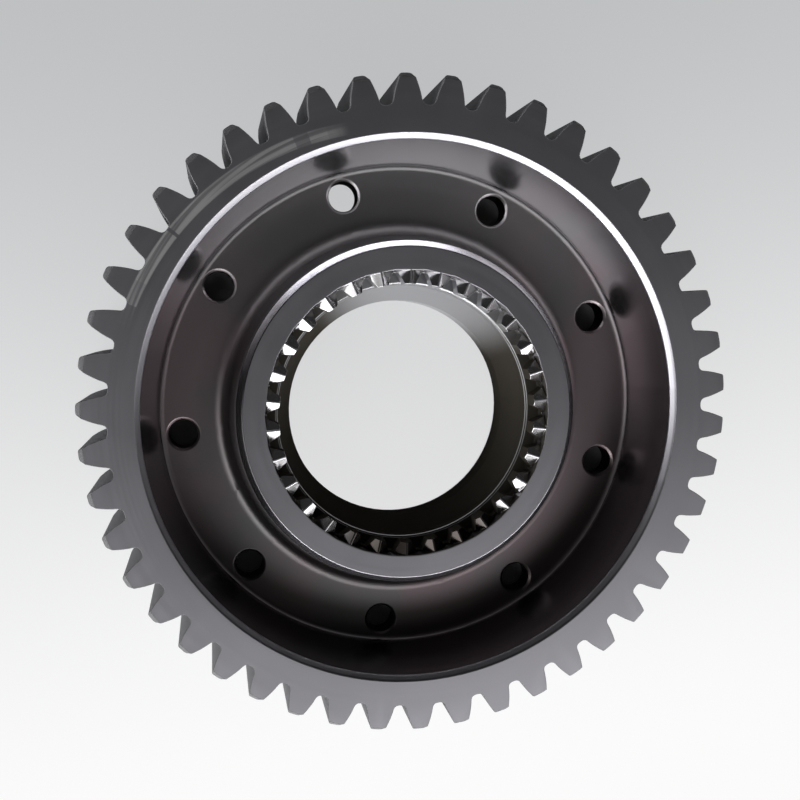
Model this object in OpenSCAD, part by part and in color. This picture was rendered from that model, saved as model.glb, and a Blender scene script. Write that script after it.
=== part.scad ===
// Reduction gear with a dished front, internal clutch teeth and a pierced web
// One forging, turned, hobbed and broached: everything below is one solid
// The axis is Z, the back faces lie on Z = 0 and the dished front looks up

/* [Outer teeth] */
// Module of the outer teeth, which is pitch diameter over tooth count
tooth_module = 5; // [4.8:0.1:5.6]
// Number of outer teeth
tooth_count = 46; // [44:1:54]
// Pressure angle of the outer teeth
pressure_angle = 20; // [18:0.5:24]
// Height of a tooth above the pitch circle, in modules
addendum = 1; // [0.85:0.05:1.05]
// Depth of a tooth below the pitch circle, in modules
dedendum = 1.25; // [1.15:0.05:1.35]
// Radius in each corner at the foot of a tooth
root_fillet = 1.9; // [1:0.1:2]
// Radius on the two edges of a tooth's crest
crest_round = 1.5; // [0.5:0.1:1.6]
// Width of the toothed rim from back to front
face_w = 44; // [41:1:56]
// Turned bevel at both ends of the crests, measured inward from the tips
crest_bevel_r = 2.4; // [1:0.2:4]
// The same bevel measured along the axis
crest_bevel_h = 4; // [2:0.2:6]

/* [Recesses and web] */
// Wall of the rim between the tooth roots and the mouth of a recess
rim_wall = 9.4; // [8:0.2:12]
// Chamfer around the mouth of a recess
mouth_chamfer = 1.8; // [0.5:0.1:2.5]
// Draft of the recess walls and of the hub's flank
draft = 12.4; // [4:0.2:14]
// Depth of the front recess below the front of the rim
front_depth = 27; // [24:0.5:29]
// Thickness of the web between the two recesses
web_t = 10; // [7:0.5:12]
// Radius in the corner between the rim and the web
rim_foot_fillet = 2.5; // [1:0.5:4]

/* [Hub] */
// Drop of the hub's front face below the front of the rim
hub_drop = 9; // [6:0.5:12]
// Diameter of the hub's front face inside its chamfer
hub_face_d = 123.2; // [118:0.2:126]
// Chamfer around the hub's front face
hub_chamfer = 2.2; // [1:0.1:3]
// Radius in the corner between the hub and the web at the front
hub_foot_fillet = 6; // [2:0.5:7]
// Diameter of the hub's rear face
hub_rear_d = 128; // [118:0.5:134]

/* [Clutch teeth] */
// Number of internal teeth
clutch_count = 30; // [26:1:34]
// Diameter across the bottoms of the gaps
clutch_major_d = 104.8; // [103:0.2:108]
// Diameter across the crests, and of the register behind the groove
clutch_minor_d = 96; // [94:0.2:98]
// Width of a gap at its bottom
gap_floor_w = 2; // [1.4:0.1:2.6]
// Lean of a tooth's flank from the middle line of the gap
flank_lean = 24; // [18:0.5:28]
// Radius in the two corners at the bottom of a gap
gap_fillet = 0.6; // [0.2:0.1:0.8]
// Length of the teeth back from the hub's front face
clutch_l = 7.6; // [6:0.1:9]
// Slope of the two facets that point each tooth
point_slope = 45; // [30:1:50]
// Width left flat between the two facets along the tooth's middle line
point_flat = 0.5; // [0.2:0.1:1.5]
// Run of the facets past the bottoms of the gaps into the hub's face
point_run = 0.6; // [0.2:0.1:1.5]

/* [Bore] */
// Width of the run-out groove behind the clutch teeth
groove_w = 3.1; // [2:0.1:4]
// Depth of the groove beyond the bottoms of the gaps
groove_extra = 0.8; // [0.4:0.1:1.6]
// Length of the cylindrical register behind the groove
register_l = 5.3; // [3:0.1:7]
// Chamfer at the mouth of the register
register_chamfer = 0.8; // [0.3:0.1:1.2]
// Diameter of the plain bore at the back
bore_d = 85; // [78:0.5:90]
// Length of the plain bore with its chamfer
bore_l = 10; // [6:0.5:13]
// Chamfer at the back of the plain bore
bore_chamfer = 1; // [0.5:0.1:2]

/* [Web holes] */
// Number of holes through the web
hole_count = 9; // [6:1:12]
// Diameter of a hole
hole_d = 11; // [9:0.5:12]
// Distance of a hole's middle from the foot of the rim's wall
hole_inset = 8.3; // [8:0.1:9.5]
// Chamfer at both ends of a hole
hole_chamfer = 0.9; // [0.3:0.1:1.2]
// Angle from the middle of an outer tooth to the first hole
hole_phase = 19.6; // [0:0.1:40]

/* [Hidden] */
$fn = 96;
past = 1;
arc_steps = 4;
full_turn = 360;
half_turn = full_turn / 2;
quarter_turn = full_turn / 4;
pitch_r = tooth_module * tooth_count / 2;
tip_r = pitch_r + addendum * tooth_module;
root_r = pitch_r - dedendum * tooth_module;
base_r = pitch_r * cos(pressure_angle);
tooth_pitch = full_turn / tooth_count;
mouth_r = root_r - rim_wall;
web_back = face_w - front_depth - web_t;
web_front = web_back + web_t;
hub_front = face_w - hub_drop;
rim_foot_r = mouth_r - mouth_chamfer - (front_depth - mouth_chamfer) * tan(draft);
hub_top_r = hub_face_d / 2 + hub_chamfer;
hub_foot_r = hub_top_r + (hub_front - hub_chamfer - web_front) * tan(draft);
rear_foot_r = mouth_r - mouth_chamfer - (web_back - mouth_chamfer) * tan(draft);
rear_hub_foot_r = hub_rear_d / 2 + web_back * tan(draft);
clutch_pitch = full_turn / clutch_count;
major_r = clutch_major_d / 2;
minor_r = clutch_minor_d / 2;
groove_front = hub_front - clutch_l;
groove_back = groove_front - groove_w;
groove_r = major_r + groove_extra;
register_back = groove_back - register_l;
bore_r = bore_d / 2;
point_end_r = major_r + point_run;
hole_circle_r = rim_foot_r - hole_inset;

// Point at a radius and an angle
function polar(r, a) = r * [cos(a), sin(a)];
// Vector of length one
function unit(v) = v / norm(v);
// Angle of a vector from the X axis
function heading(v) = atan2(v[1], v[0]);
// Points of an arc about a middle point
function arc(middle, r, from, to, steps) =
    [for (i = [0:steps]) middle + polar(r, from + (to - from) * i / steps)];
// Angle turned from one heading to another the short way round
function turn(from, to) = (to - from + full_turn + half_turn) % full_turn - half_turn;
// Arc of a given radius in the corner b between the lines to a and to c
function corner(a, b, c, r) =
    let (
        u = unit(a - b),
        v = unit(c - b),
        half = acos(u * v) / 2,
        middle = b + unit(u + v) * r / sin(half),
        from = heading(b + u * r / tan(half) - middle),
        to = heading(b + v * r / tan(half) - middle)
    )
    arc(middle, r, from, from + turn(from, to), arc_steps);

// Pressure angle on the involute at a radius
function slope_at(r) = acos(min(1, base_r / r));
// Involute angle of a pressure angle
function involute(a) = tan(a) * half_turn / PI - a;
// Half the angle that a tooth takes up at a radius
function half_tooth(r) = tooth_pitch / 4 + involute(pressure_angle) - involute(slope_at(r));

// Arc at a tooth's foot, on the side of growing angle, tangent to root circle and flank
function foot_arc() =
    let (
        r = root_r + root_fillet,
        lean = slope_at(r),
        away = root_fillet / cos(lean) / r * half_turn / PI,
        a = half_tooth(r) + away
    )
    arc(polar(r, a), root_fillet, a + half_turn + quarter_turn - lean, a + half_turn, arc_steps - 1);

// Arc at a tooth's crest on the same side
function crest_arc() =
    let (
        r = tip_r - crest_round,
        lean = slope_at(r),
        inward = crest_round / cos(lean) / r * half_turn / PI,
        a = half_tooth(r) - inward
    )
    arc(polar(r, a), crest_round, a, a + quarter_turn - lean, arc_steps - 1);

// Involute between the two arcs, from crest to foot
function flank() =
    let (
        from = tip_r - crest_round * (1 - sin(slope_at(tip_r - crest_round))),
        to = root_r + root_fillet * (1 - sin(slope_at(root_r + root_fillet)))
    )
    [for (i = [1:arc_steps]) let (r = from + (to - from) * i / (arc_steps + 1)) polar(r, half_tooth(r))];

// One half of a tooth from the middle of its crest to the root
function half_outline() = concat(crest_arc(), flank(), foot_arc());

// Outline turned to tooth number i
function turned(points, a) =
    [for (p = points) [p[0] * cos(a) - p[1] * sin(a), p[0] * sin(a) + p[1] * cos(a)]];

// Same points mirrored in the X axis and in backward order
function mirrored(points) = [for (i = [len(points) - 1:-1:0]) [points[i][0], -points[i][1]]];

// Section of the turned blank, radius against height
function blank_section() =
    let (
        rim_top = [mouth_r - mouth_chamfer, face_w - mouth_chamfer],
        rim_foot = [rim_foot_r, web_front],
        hub_foot = [hub_foot_r, web_front],
        hub_top = [hub_top_r, hub_front - hub_chamfer],
        rear_hub = [hub_rear_d / 2, 0],
        rear_hub_foot = [rear_hub_foot_r, web_back],
        rear_foot = [rear_foot_r, web_back],
        rear_mouth = [mouth_r - mouth_chamfer, mouth_chamfer],
        bevel_past = crest_bevel_h * (crest_bevel_r + past) / crest_bevel_r
    )
    concat(
        [[tip_r - crest_bevel_r, 0]],
        [[tip_r + past, bevel_past]],
        [[tip_r + past, face_w - bevel_past]],
        [[tip_r - crest_bevel_r, face_w]],
        [[mouth_r, face_w]],
        [rim_top],
        corner(rim_top, rim_foot, hub_foot, rim_foot_fillet),
        corner(rim_foot, hub_foot, hub_top, hub_foot_fillet),
        [hub_top],
        [[hub_face_d / 2, hub_front]],
        [[minor_r, hub_front]],
        [[minor_r, groove_front]],
        [[groove_r, groove_front]],
        [[groove_r, groove_back]],
        [[minor_r + register_chamfer, groove_back]],
        [[minor_r, groove_back - register_chamfer]],
        [[minor_r, register_back]],
        [[bore_r, bore_l]],
        [[bore_r, bore_chamfer]],
        [[bore_r + bore_chamfer, 0]],
        [rear_hub],
        corner(rear_hub, rear_hub_foot, rear_foot, rim_foot_fillet),
        corner(rear_hub_foot, rear_foot, rear_mouth, rim_foot_fillet),
        [rear_mouth],
        [[mouth_r, 0]]
    );

// Forging as it leaves the lathe
module turned_blank() {
    rotate_extrude()
        polygon(blank_section());
}

// Full-width prism with the outline of the outer teeth
module outer_teeth() {
    tooth = concat(mirrored(half_outline()), half_outline());
    translate([0, 0, -past])
        linear_extrude(face_w + 2 * past)
            polygon([for (i = [0:tooth_count - 1]) each turned(tooth, i * tooth_pitch)]);
}

// One gap between two clutch teeth, open towards the axis and rounded at the bottom
module clutch_gap() {
    mouth_x = minor_r - past;
    mouth_half = gap_floor_w / 2 + (major_r - mouth_x) * tan(flank_lean);
    mouth = [mouth_x, mouth_half];
    floor_end = [major_r, gap_floor_w / 2];
    side = corner([major_r, 0], floor_end, mouth, gap_fillet);
    translate([0, 0, groove_back + groove_w / 2])
        linear_extrude(hub_front - groove_back)
            polygon(concat([[mouth_x, -mouth_half]], mirrored(side), side, [mouth]));
}

// All that lies above the facet of one tooth, on the given side of its middle line
module above_facet(side) {
    reach = point_end_r * tan(clutch_pitch);
    depth = (reach - point_flat / 2) * tan(point_slope);
    from = minor_r - 2 * past;
    translate([from, 0, hub_front])
        rotate([quarter_turn, 0, quarter_turn])
            linear_extrude(point_end_r - from)
                polygon([
                    [side * point_flat / 2, 0],
                    [side * reach, -depth],
                    [side * reach, past],
                    [side * point_flat / 2, past]
                ]);
}

// Notch at the mouth of a gap, whose two sides point the teeth beside it
module pointing_cut() {
    intersection() {
        rotate([0, 0, -clutch_pitch / 2])
            above_facet(1);
        rotate([0, 0, clutch_pitch / 2])
            above_facet(-1);
    }
}

// Plain hole through the web with a chamfer at each end
module web_hole() {
    hole_r = hole_d / 2;
    translate([0, 0, web_back - past])
        cylinder(h = web_t + 2 * past, r = hole_r, $fn = 48);
    translate([0, 0, web_front - hole_chamfer])
        cylinder(h = hole_chamfer + past, r1 = hole_r, r2 = hole_r + hole_chamfer + past, $fn = 48);
    translate([0, 0, web_back - past])
        cylinder(h = hole_chamfer + past, r1 = hole_r + hole_chamfer + past, r2 = hole_r, $fn = 48);
}

// The finished gear
module gear() {
    color([0.40, 0.39, 0.41])
        difference() {
            intersection() {
                turned_blank();
                outer_teeth();
            }
            for (i = [0:clutch_count - 1])
                rotate([0, 0, (i + 0.5) * clutch_pitch]) {
                    clutch_gap();
                    pointing_cut();
                }
            for (i = [0:hole_count - 1])
                rotate([0, 0, hole_phase + i * full_turn / hole_count])
                    translate([hole_circle_r, 0, 0])
                        web_hole();
        }
}

gear();
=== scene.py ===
import bmesh
import bpy
import math
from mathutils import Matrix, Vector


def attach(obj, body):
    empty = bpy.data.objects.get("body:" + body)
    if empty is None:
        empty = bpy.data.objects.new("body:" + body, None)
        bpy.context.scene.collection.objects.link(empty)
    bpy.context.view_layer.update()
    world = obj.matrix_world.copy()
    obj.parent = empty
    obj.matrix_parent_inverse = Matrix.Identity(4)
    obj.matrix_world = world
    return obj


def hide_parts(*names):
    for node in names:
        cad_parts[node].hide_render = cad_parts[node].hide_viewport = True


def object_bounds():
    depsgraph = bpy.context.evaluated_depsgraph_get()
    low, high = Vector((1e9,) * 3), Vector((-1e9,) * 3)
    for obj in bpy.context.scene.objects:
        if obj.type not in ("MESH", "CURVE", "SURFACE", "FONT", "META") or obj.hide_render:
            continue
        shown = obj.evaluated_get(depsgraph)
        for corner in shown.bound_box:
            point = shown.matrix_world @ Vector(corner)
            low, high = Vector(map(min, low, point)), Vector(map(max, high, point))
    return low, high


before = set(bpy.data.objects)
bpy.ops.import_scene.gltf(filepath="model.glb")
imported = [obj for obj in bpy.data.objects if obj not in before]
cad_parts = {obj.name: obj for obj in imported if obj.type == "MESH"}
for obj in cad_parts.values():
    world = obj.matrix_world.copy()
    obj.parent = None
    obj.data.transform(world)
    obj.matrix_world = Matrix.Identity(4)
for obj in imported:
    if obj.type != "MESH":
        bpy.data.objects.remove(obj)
cad_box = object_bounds()

# The gear
# One forging of case-hardening steel, turned all over, hobbed outside and shaped inside.
# It is left dark by heat treatment and oil, and every sharp edge is broken by hand.
RIM_Z = round(cad_box[1][2], 4)         # front face of the rim, the highest of the gear
HUB_Z, WEB_Z = RIM_Z - 0.009, RIM_Z - 0.027     # front faces of the hub and the web
TEETH_R = 0.1082                        # the outer teeth stand outside this
MOUTH_R, WALL_FOOT_R = 0.0990, 0.0915   # the recess's wall leans out from its foot to its mouth
HUB_R, HUB_FOOT_R = 0.0638, 0.0660      # the hub under its chamfer, and where it rounds into the web
EDGE_ZONE = 0.0022                      # the chamfers of mouth and hub lie within this of their front faces
HOLE_RING = (0.0770, 0.0905)            # the web's holes lie between these radii
HOLE_WALL = (WEB_Z - 0.0092, WEB_Z - 0.0009)    # and their plain walls between these heights
WEB_HOLES, HOLE_PHASE = 9, 19.6         # the flat faces are divided along lines through the holes
SOCKET_R = 0.0530                       # the clutch teeth with their facets lie inside this
GROOVE_R = SOCKET_R + 0.0002            # the groove behind them
REGISTER_R, REGISTER_Z = 0.0488, HUB_Z - 0.0107  # outer edge of the chamfer at the register's mouth
FACET_LOW = HUB_Z - 0.0044      # the facets of the clutch teeth lie between this height and the hub's face
FACET_KEEP = 0.65               # share of their fall that is left, so that they catch the window
FACET_RISE = (0.6, 0.95)        # upward part of their normals, by which they are told from flanks and crests
FLAT = 0.98                     # a face whose normal has more height than this is an end face
EDGE_BREAK = 0.00022            # width of the broken edges
SHARP = math.radians(26)        # an edge that turns more than this is sharp
TOOTH_SHARP = math.radians(65)  # the same for the outer teeth, whose crests are rounded and bevelled
FACET, FILMED = 1, 2            # slots of two finishes, after the turned steel's

# Level directions from the axis, with the top of the photograph at +Y.
LIT_SOCKET_WAY = (0.26, 0.966)      # the socket is painted light this way, as bare steel where it faces the window
LIT_WALL_WAY = (0.087, 0.996)      # the recess's wall is painted lightest this way, where it faces the window
LIT_CHAMFER_WAY = (-0.17, 0.985)        # the chamfers are spared the painted shade this way, on the far side from the window, which they face
WIPED_WAY = (-0.60, 0.80)       # the rim is wiped this way

# The wall's grey in painted shade and in painted light.
WALL_IN_SHADE, WALL_IN_LIGHT = (0.36, 0.35, 0.36, 1), (0.88, 0.87, 0.91, 1)
MAUVE_TINT = (1.18, 0.97, 1.02)             # what a stain makes of the oxide
# The colour of the wipe marks, and the colour of the painted shade.
WIPE_MARK, SHADE_PAINT = (0.95, 0.95, 0.95, 1), (0.030, 0.026, 0.024, 1)


def forging_mesh(source):
    """The forging's surface as one closed skin, with its sharp edges broken and its finishes shared out."""
    skin = bmesh.new()
    skin.from_mesh(source)
    bmesh.ops.remove_doubles(skin, verts=skin.verts, dist=1e-6)
    for cut in range(WEB_HOLES):
        turn = math.radians(HOLE_PHASE + cut * 180 / WEB_HOLES)
        made = bmesh.ops.bisect_plane(skin, geom=skin.verts[:] + skin.edges[:] + skin.faces[:], dist=1e-7,
                                      plane_co=(0, 0, 0), plane_no=(-math.sin(turn), math.cos(turn), 0))
        for edge in (e for e in made["geom_cut"] if isinstance(e, bmesh.types.BMEdge)):
            edge.seam = True
    bmesh.ops.dissolve_limit(skin, angle_limit=math.radians(0.3), verts=skin.verts, edges=skin.edges,
                             delimit={"SEAM"})

    for vert in skin.verts:
        if FACET_LOW < vert.co.z < HUB_Z and vert.co.xy.length < GROOVE_R:
            vert.co.z = HUB_Z - (HUB_Z - vert.co.z) * FACET_KEEP
    skin.normal_update()

    def is_sharp(edge):
        inner_end = min(vert.co.xy.length for vert in edge.verts)
        return edge.calc_face_angle(0) > (SHARP if inner_end < TEETH_R else TOOTH_SHARP)

    for face in skin.faces:
        middle = face.calc_center_median()
        if middle.xy.length < GROOVE_R and 0.0002 < middle.z < HUB_Z - 0.0001:
            on_facet = middle.z > FACET_LOW and FACET_RISE[0] < face.normal.z < FACET_RISE[1]
            face.material_index = FACET if on_facet else FILMED
    sharp_edges = [edge for edge in skin.edges if is_sharp(edge)]
    bmesh.ops.bevel(skin, geom=sharp_edges, offset=EDGE_BREAK, offset_type="OFFSET", affect="EDGES",
                    segments=2, profile=0.5, clamp_overlap=False, material=-1)
    for face in skin.faces:
        face.smooth = True
        if face.calc_center_median().xy.length > TEETH_R and abs(face.normal.z) < FLAT:
            face.material_index = FILMED
    mesh = bpy.data.meshes.new("gear_forging")
    skin.to_mesh(mesh)
    skin.free()
    return mesh


class Signal:
    """A value or vector at each point of a surface, joined to others by ordinary sums."""

    def __init__(self, tree, socket):
        self.tree, self.socket = tree, socket

    def node(self, kind, inputs=(), output=0, **settings):
        """Adds a node: its settings first, then the values or links of its sockets."""
        made = self.tree.nodes.new(kind)
        for name, value in settings.items():
            setattr(made, name, value)
        for name, value in dict(inputs).items():
            if isinstance(value, Signal):
                self.tree.links.new(value.socket, made.inputs[name])
            else:
                made.inputs[name].default_value = value
        return Signal(self.tree, made.outputs[output])

    def sum(self, operation, first, second):
        """A Math node on two signals or numbers."""
        return self.node("ShaderNodeMath", {0: first, 1: second}, operation=operation)

    def __add__(self, other):
        return self.sum("ADD", self, other)

    def __radd__(self, other):
        return self.sum("ADD", other, self)

    def __sub__(self, other):
        return self.sum("SUBTRACT", self, other)

    def __rsub__(self, other):
        return self.sum("SUBTRACT", other, self)

    def __mul__(self, other):
        return self.sum("MULTIPLY", self, other)

    def __rmul__(self, other):
        return self.sum("MULTIPLY", other, self)

    def __truediv__(self, other):
        return self.sum("DIVIDE", self, other)

    def __rtruediv__(self, other):
        return self.sum("DIVIDE", other, self)

    def larger(self, other):
        """The larger of two signals at each point."""
        return self.sum("MAXIMUM", self, other)

    def ramp(self, start, end, low=0.0, high=1.0):
        """Runs smoothly from low to high as the signal goes from start to end."""
        return self.node("ShaderNodeMapRange", {0: self, 1: start, 2: end, 3: low, 4: high},
                         interpolation_type="SMOOTHSTEP")

    def band(self, start, end, blur):
        """One between start and end, and nothing outside them."""
        return self.ramp(start - blur, start + blur) * self.ramp(end - blur, end + blur, 1.0, 0.0)

    def noise(self, scale, detail, roughness=0.55):
        """Even noise about 0.5 that follows this vector."""
        return self.node("ShaderNodeTexNoise", {"Vector": self, "Scale": scale, "Detail": detail,
                                                "Roughness": roughness})

    def blend(self, first, second):
        """Colour that goes from first to second as the signal goes from 0 to 1."""
        return self.node("ShaderNodeMix", {0: self, 6: first, 7: second}, output=2, data_type="RGBA")

    def level(self):
        """This vector without its height."""
        return self.node("ShaderNodeVectorMath", {0: self, 1: (1, 1, 0)}, operation="MULTIPLY")


class Steel:
    """A steel of the gear: its material, where each of its points is, and what every finish of it has."""

    def __init__(self, name):
        self.material = bpy.data.materials.new(name)
        self.material.use_nodes = True
        self.tree = self.material.node_tree
        self.shader = self.tree.nodes["Principled BSDF"]
        self.shader.inputs["Metallic"].default_value = 1.0
        self.here = Signal(self.tree, self.tree.nodes.new("ShaderNodeTexCoord").outputs["Object"])
        level = self.here.level()
        self.z = self.here.node("ShaderNodeSeparateXYZ", {0: self.here}, output=2)
        self.radius = self.here.node("ShaderNodeVectorMath", {0: level}, output=1, operation="LENGTH")
        self.around = self.here.node("ShaderNodeVectorMath", {0: level}, operation="NORMALIZE")
        self.side = self.here.node("ShaderNodeSeparateXYZ", {0: self.around}, output=0)
        self.up = self.here.node("ShaderNodeSeparateXYZ", {0: self.around}, output=1)
        self.socket = self.radius.ramp(SOCKET_R, SOCKET_R + 0.001, 1.0, 0.0)
        self.smudge = self.here.noise(22.0, 4.0, 0.6)
        self.coarse = self.tool_marks(pitch=0.0016, reach=0.8)

    def facing(self, way):
        """How far a point lies that way from the axis, from -1 to 1."""
        return self.side * way[0] + self.up * way[1]

    def tool_marks(self, pitch, reach):
        """Noise drawn out around the axis, as a lathe tool leaves it on faces and on steep walls."""
        across = self.radius + self.z * 0.83
        track = self.here.node("ShaderNodeCombineXYZ", {0: self.side * reach, 1: self.up * reach,
                                                        2: across / pitch})
        return track.noise(1.0, 2.0)

    def feed(self, name, signal):
        """Lets the shader's socket of that name follow the signal."""
        self.tree.links.new(signal.socket, self.shader.inputs[name])

    def finish(self, colour, dull):
        """Lays on the colour and dullness, and the relief of tool marks, slight waves and grain."""
        self.feed("Base Color", colour)
        self.feed("Roughness", dull)
        height = self.tool_marks(pitch=0.00035, reach=1.5) * 0.5 + self.coarse * 0.6
        height = height + self.here.noise(60.0, 3.0) * 0.5 + self.here.noise(2600.0, 2.0) * 0.15
        relief = self.here.node("ShaderNodeBump", {"Height": height, "Strength": 0.15, "Distance": 0.00006})
        self.feed("Normal", relief)
        return self.material


def turned_steel(name, bare, oxide, polish):
    """Turned steel: oxidised on the web, smoother on the wall, wiped on the rim, with painted light on the
    wall and painted shade in the hollows.
    """
    steel = Steel(name)
    z, radius, side, up, smudge = steel.z, steel.radius, steel.side, steel.up, steel.smudge

    # One on each part of the turned body, and nothing elsewhere.
    above_web = WEB_Z + 0.0008
    web = radius.band(HUB_FOOT_R, WALL_FOOT_R, 0.0010) * z.ramp(above_web, WEB_Z + 0.004, 1.0, 0.0)
    wall = radius.band(WALL_FOOT_R, MOUTH_R, 0.0005) * z.band(above_web, RIM_Z - EDGE_ZONE, 0.0004)
    mouth = radius.band(MOUTH_R - 0.0002, MOUTH_R + EDGE_ZONE, 0.0003)
    mouth = mouth * z.band(RIM_Z - EDGE_ZONE, RIM_Z - 0.0001, 0.0001)
    hole = radius.band(*HOLE_RING, 0.0002) * z.band(*HOLE_WALL, 0.0002)
    hub_top = z.ramp(HUB_Z - 0.0030, HUB_Z - EDGE_ZONE)
    hub_edge = radius.band(HUB_R - 0.0024, HUB_R + 0.0003, 0.0002) * hub_top
    hub_side = radius.band(HUB_R + 0.0003, HUB_FOOT_R + 0.003, 0.0006) * (1.0 - hub_top)

    # Oxide on the web and the hub's side, a grey wall painted lighter at the top where it faces the window,
    # and mauve stains.
    colour = (web + hub_side + (smudge - 0.5) * 0.25).ramp(0.0, 1.0).blend(bare, oxide)
    colour = (wall * 0.9).blend(colour, steel.facing(LIT_WALL_WAY).ramp(0.2, 0.7).blend(WALL_IN_SHADE, WALL_IN_LIGHT))
    mauve = (*(part * tint for part, tint in zip(oxide, MAUVE_TINT)), 1)
    stain = smudge.ramp(0.35, 0.58) * up.ramp(0.45, 0.90, 1.0, 0.1)
    colour = (stain * (web * 0.9 + wall * 0.15)).blend(colour, mauve)

    # Light wipe marks in a broken arc on the rim, which drifts outwards to the left.
    arc = (radius + side * 0.006).band(0.1000, 0.1042, 0.0003) * steel.facing(WIPED_WAY).ramp(0.87, 0.90)
    patch = steel.here.node("ShaderNodeTexVoronoi", {"Vector": steel.around, "Scale": 9.0}, output=1)
    patch = steel.here.node("ShaderNodeSeparateColor", {0: patch}).ramp(0.30, 0.50, 0.15, 1.0)
    streak = steel.here.node("ShaderNodeCombineXYZ", {0: side * 2.0, 1: up * 2.0, 2: radius * 900.0})
    streak = streak.noise(1.0, 3.0).ramp(0.35, 0.60, 0.3, 1.0)
    wiped = arc * z.ramp(RIM_Z - 0.001, RIM_Z) * patch * streak
    colour = (wiped * 0.95).blend(colour, WIPE_MARK)

    # Painted shade: on the web by the wall at the bottom and by the hub at the top, on the hub's side and
    # chamfer, on the mouth at the bottom, in the holes, and at the bottom of the socket.
    far = steel.facing(LIT_CHAMFER_WAY)
    shade_on_web = ((radius - 0.0730) * up / -0.012).ramp(-0.2, 0.8) * web
    # Painted shade on the hub's chamfer except at the top and bottom, and on the mouth's chamfer at the
    # bottom.
    shade_on_chamfers = hub_edge * far.ramp(0.80, 0.97, 1.0, 0.0) * far.ramp(-0.60, -0.15)
    shade_on_chamfers = shade_on_chamfers + mouth * far.ramp(-0.30, 0.30, 0.7, 0.0)
    shade_in_socket = steel.socket * up.ramp(-0.90, -0.60, 1.0, 0.0)
    painted_shade = (shade_on_web * 0.85).larger(shade_on_chamfers * 0.80 + hub_side * 0.5).larger(hole).larger(shade_in_socket)
    colour = painted_shade.blend(colour, SHADE_PAINT)

    dull = polish - wall * 0.13 - hub_edge * 0.16 + wiped * 0.08
    return steel.finish(colour, dull + (smudge - 0.5) * 0.10 + (steel.coarse - 0.5) * 0.06)


def filmed_steel(name, bare, film, coat, polish):
    """Steel under a dull coat outside, and inside under old oil, with painted light: bare steel at the top,
    where it faces the window, and on two edges.
    """
    steel = Steel(name)
    steel.shader.inputs["Specular IOR Level"].default_value = 0.0
    z, smudge = steel.z, steel.smudge
    # Painted light: bare steel towards the top, where the socket faces the window.
    top = steel.facing(LIT_SOCKET_WAY).ramp(0.58, 1.02) * smudge.ramp(0.2, 0.5, 0.8, 1.0)
    # Painted highlights: two thin bare lines on the edges of the register's chamfer.
    edges = z.band(REGISTER_Z - 0.0010, REGISTER_Z - 0.0006, 0.0001)
    edges = edges + z.band(REGISTER_Z - 0.0002, REGISTER_Z + 0.0001, 0.0001)
    edges = edges * 0.8 * steel.radius.ramp(REGISTER_R - 0.0002, REGISTER_R + 0.0002, 1.0, 0.0)
    bare_and_painted_light = steel.socket * top.larger(edges) + (1.0 - steel.socket) * 0.12
    steel.feed("Metallic", bare_and_painted_light)
    colour = bare_and_painted_light.blend(steel.socket.blend(coat, film), bare)
    return steel.finish(colour, polish + (smudge - 0.5) * 0.10 - bare_and_painted_light * 0.15)


gear_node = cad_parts["gear"]
gear = bpy.data.objects.new("gear_forging", forging_mesh(gear_node.data))
bpy.context.collection.objects.link(gear)
gear.data.materials.append(turned_steel("gear_steel_turned", bare=(0.51, 0.50, 0.54, 1),
                                        oxide=(0.34, 0.332, 0.335, 1), polish=0.37))
gear.data.materials.append(turned_steel("gear_steel_facet", bare=(0.60, 0.59, 0.60, 1),
                                        oxide=(0.45, 0.44, 0.45, 1), polish=0.18))
gear.data.materials.append(filmed_steel("gear_steel_filmed", bare=(0.52, 0.52, 0.54, 1),
                                        film=(0.060, 0.054, 0.045, 1), coat=(0.23, 0.23, 0.24, 1),
                                        polish=0.42))
even = gear.modifiers.new("even_normals", "WEIGHTED_NORMAL")
even.mode = "FACE_AREA"
even.weight = 50
even.keep_sharp = True
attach(gear, "root")
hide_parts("gear")

# The table
# A plain pale sheet that the gear lies on, lighter towards the window, as in the photograph.
# The gear shades it, but for one spot under a hole of the web, which glows for the camera as painted light.
FLOOR_Z, FLOOR_HALF = -0.0003, 4.0      # its height, and half its width
FADE_Y = (-0.17, 0.20)                  # the sheet's colour fades between these, from near to far
NEAR_PAPER, FAR_PAPER = (1.0, 1.0, 1.0, 1), (0.54, 0.55, 0.56, 1)
GLOW, GLOW_STRENGTH = 0.82, 1.04        # share of the sheet that glows as background, and how strongly
UNDER_R = (0.0431, 0.109)               # the ring of the sheet that the gear hides
GLOW_SPOT, GLOW_SPOT_R = (-0.0122, 0.0839, 0), (0.011, 0.014)  # the painted glowing spot fades between these radii
skin = bmesh.new()
bmesh.ops.create_grid(skin, x_segments=1, y_segments=1, size=FLOOR_HALF)
bmesh.ops.translate(skin, verts=skin.verts, vec=(0, 0, FLOOR_Z))
floor = bpy.data.objects.new("floor", bpy.data.meshes.new("floor"))
skin.to_mesh(floor.data)
skin.free()
bpy.context.collection.objects.link(floor)
paper = bpy.data.materials.new("floor_paper")
paper.use_nodes = True
tree = paper.node_tree
shader = tree.nodes["Principled BSDF"]
shader.inputs["Roughness"].default_value = 0.9
shader.inputs["Specular IOR Level"].default_value = 0.1
here = Signal(tree, tree.nodes.new("ShaderNodeTexCoord").outputs["Object"])
colour = here.node("ShaderNodeSeparateXYZ", {0: here}, output=1).ramp(*FADE_Y).blend(NEAR_PAPER, FAR_PAPER)
radius = here.node("ShaderNodeVectorMath", {0: here}, output=1, operation="LENGTH")
spot = here.node("ShaderNodeVectorMath", {0: here, 1: GLOW_SPOT}, output=1, operation="DISTANCE")
under = radius.band(*UNDER_R, 0.0006)
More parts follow.
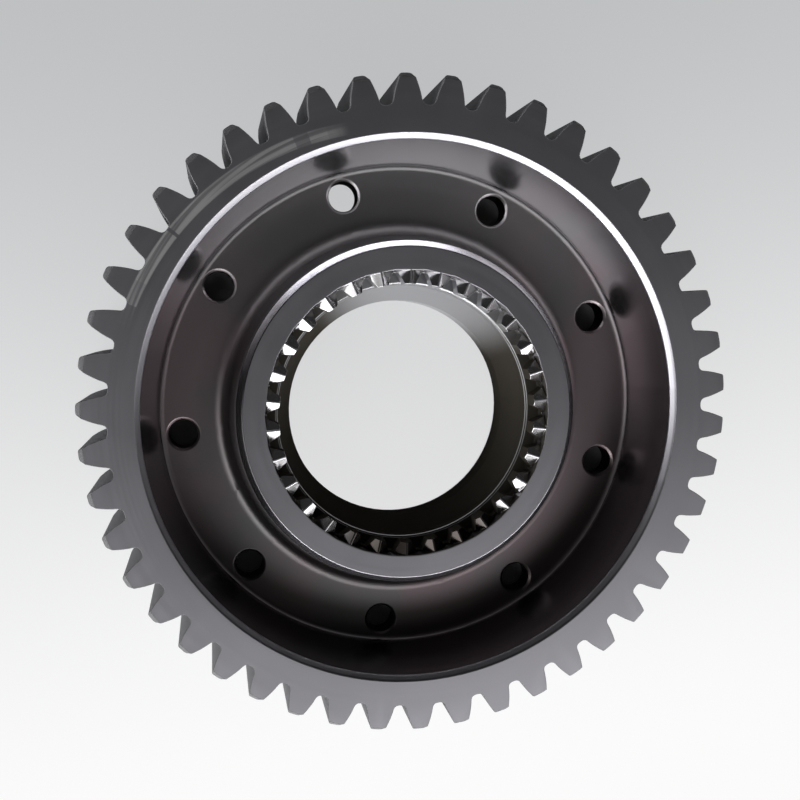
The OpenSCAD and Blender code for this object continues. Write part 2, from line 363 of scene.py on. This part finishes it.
# Painted light: the spot under one hole glows for the camera, inside the gear's shadow.
glow_spot = under * spot.ramp(*GLOW_SPOT_R, 1.0, 0.0)
tree.links.new(colour.socket, shader.inputs["Base Color"])
glow = here.node("ShaderNodeEmission", {"Color": colour, "Strength": GLOW_STRENGTH})
path = tree.nodes.new("ShaderNodeLightPath")
direct = Signal(tree, path.outputs["Is Camera Ray"])
seen = direct + Signal(tree, path.outputs["Is Glossy Ray"])
seen = seen + Signal(tree, path.outputs["Is Transmission Ray"])
share = (seen * (1.0 - under) + direct * glow_spot) * GLOW
sheet = here.node("ShaderNodeMixShader", {0: share, 1: Signal(tree, shader.outputs[0]), 2: glow})
tree.links.new(sheet.socket, tree.nodes["Material Output"].inputs["Surface"])
floor.data.materials.append(paper)

# The studio
# One wide window low on the viewer's side, with a much weaker light above it, in a dim room.
# The camera itself sees a plain pale room.
WINDOW = (-0.276, -0.961, 0)                # level direction of its middle
WINDOW_SIDES = (0.05, 0.55)                 # cosines from there, between which its sides fade
LOW_LIGHT, HIGH_LIGHT = 7.0, 1.1            # strengths of the window and of the light above it
LOW_EDGES = (0.20, 0.42, 0.05)              # sines of their lower and upper edges, and how soft those are
HIGH_EDGES = (0.55, 0.87, 0.06)
DIM_ROOM, PALE_ROOM = 0.03, 0.7             # the room as it lights the gear, and as the camera sees it
world = bpy.data.worlds.new("room")
bpy.context.scene.world = world
world.use_nodes = True
tree = world.node_tree
back = tree.nodes["Background"]
ray = Signal(tree, tree.nodes.new("ShaderNodeTexCoord").outputs["Generated"])
height = ray.node("ShaderNodeSeparateXYZ", {0: ray}, output=2)
level = ray.node("ShaderNodeVectorMath", {0: ray.level()}, operation="NORMALIZE")
facing = ray.node("ShaderNodeVectorMath", {0: level, 1: WINDOW}, output=1, operation="DOT_PRODUCT")
light = height.band(*LOW_EDGES) * LOW_LIGHT + height.band(*HIGH_EDGES) * HIGH_LIGHT
light = facing.ramp(*WINDOW_SIDES) * light + DIM_ROOM
direct = Signal(tree, tree.nodes.new("ShaderNodeLightPath").outputs["Is Camera Ray"])
light = light * (1.0 - direct) + direct * PALE_ROOM
tree.links.new(light.socket, back.inputs["Strength"])
back.inputs["Color"].default_value = (1, 1, 1, 1)

# The camera
# It stands 0.33 m above the rim, to the upper left of the axis, and looks down.
# Its picture is shifted, so that the gear sits in the frame as in the photograph.
camera = bpy.data.objects.new("camera", bpy.data.cameras.new("camera"))
camera.location = (-0.06796, 0.04337, 0.37430)
camera.rotation_euler = (-0.13861, -0.11348, -0.10208)
camera.data.lens = 42.23
camera.data.shift_x = 0.1007
camera.data.shift_y = 0.0593
bpy.context.collection.objects.link(camera)
bpy.context.scene.camera = camera
bpy.context.scene.view_settings.view_transform = "Standard"
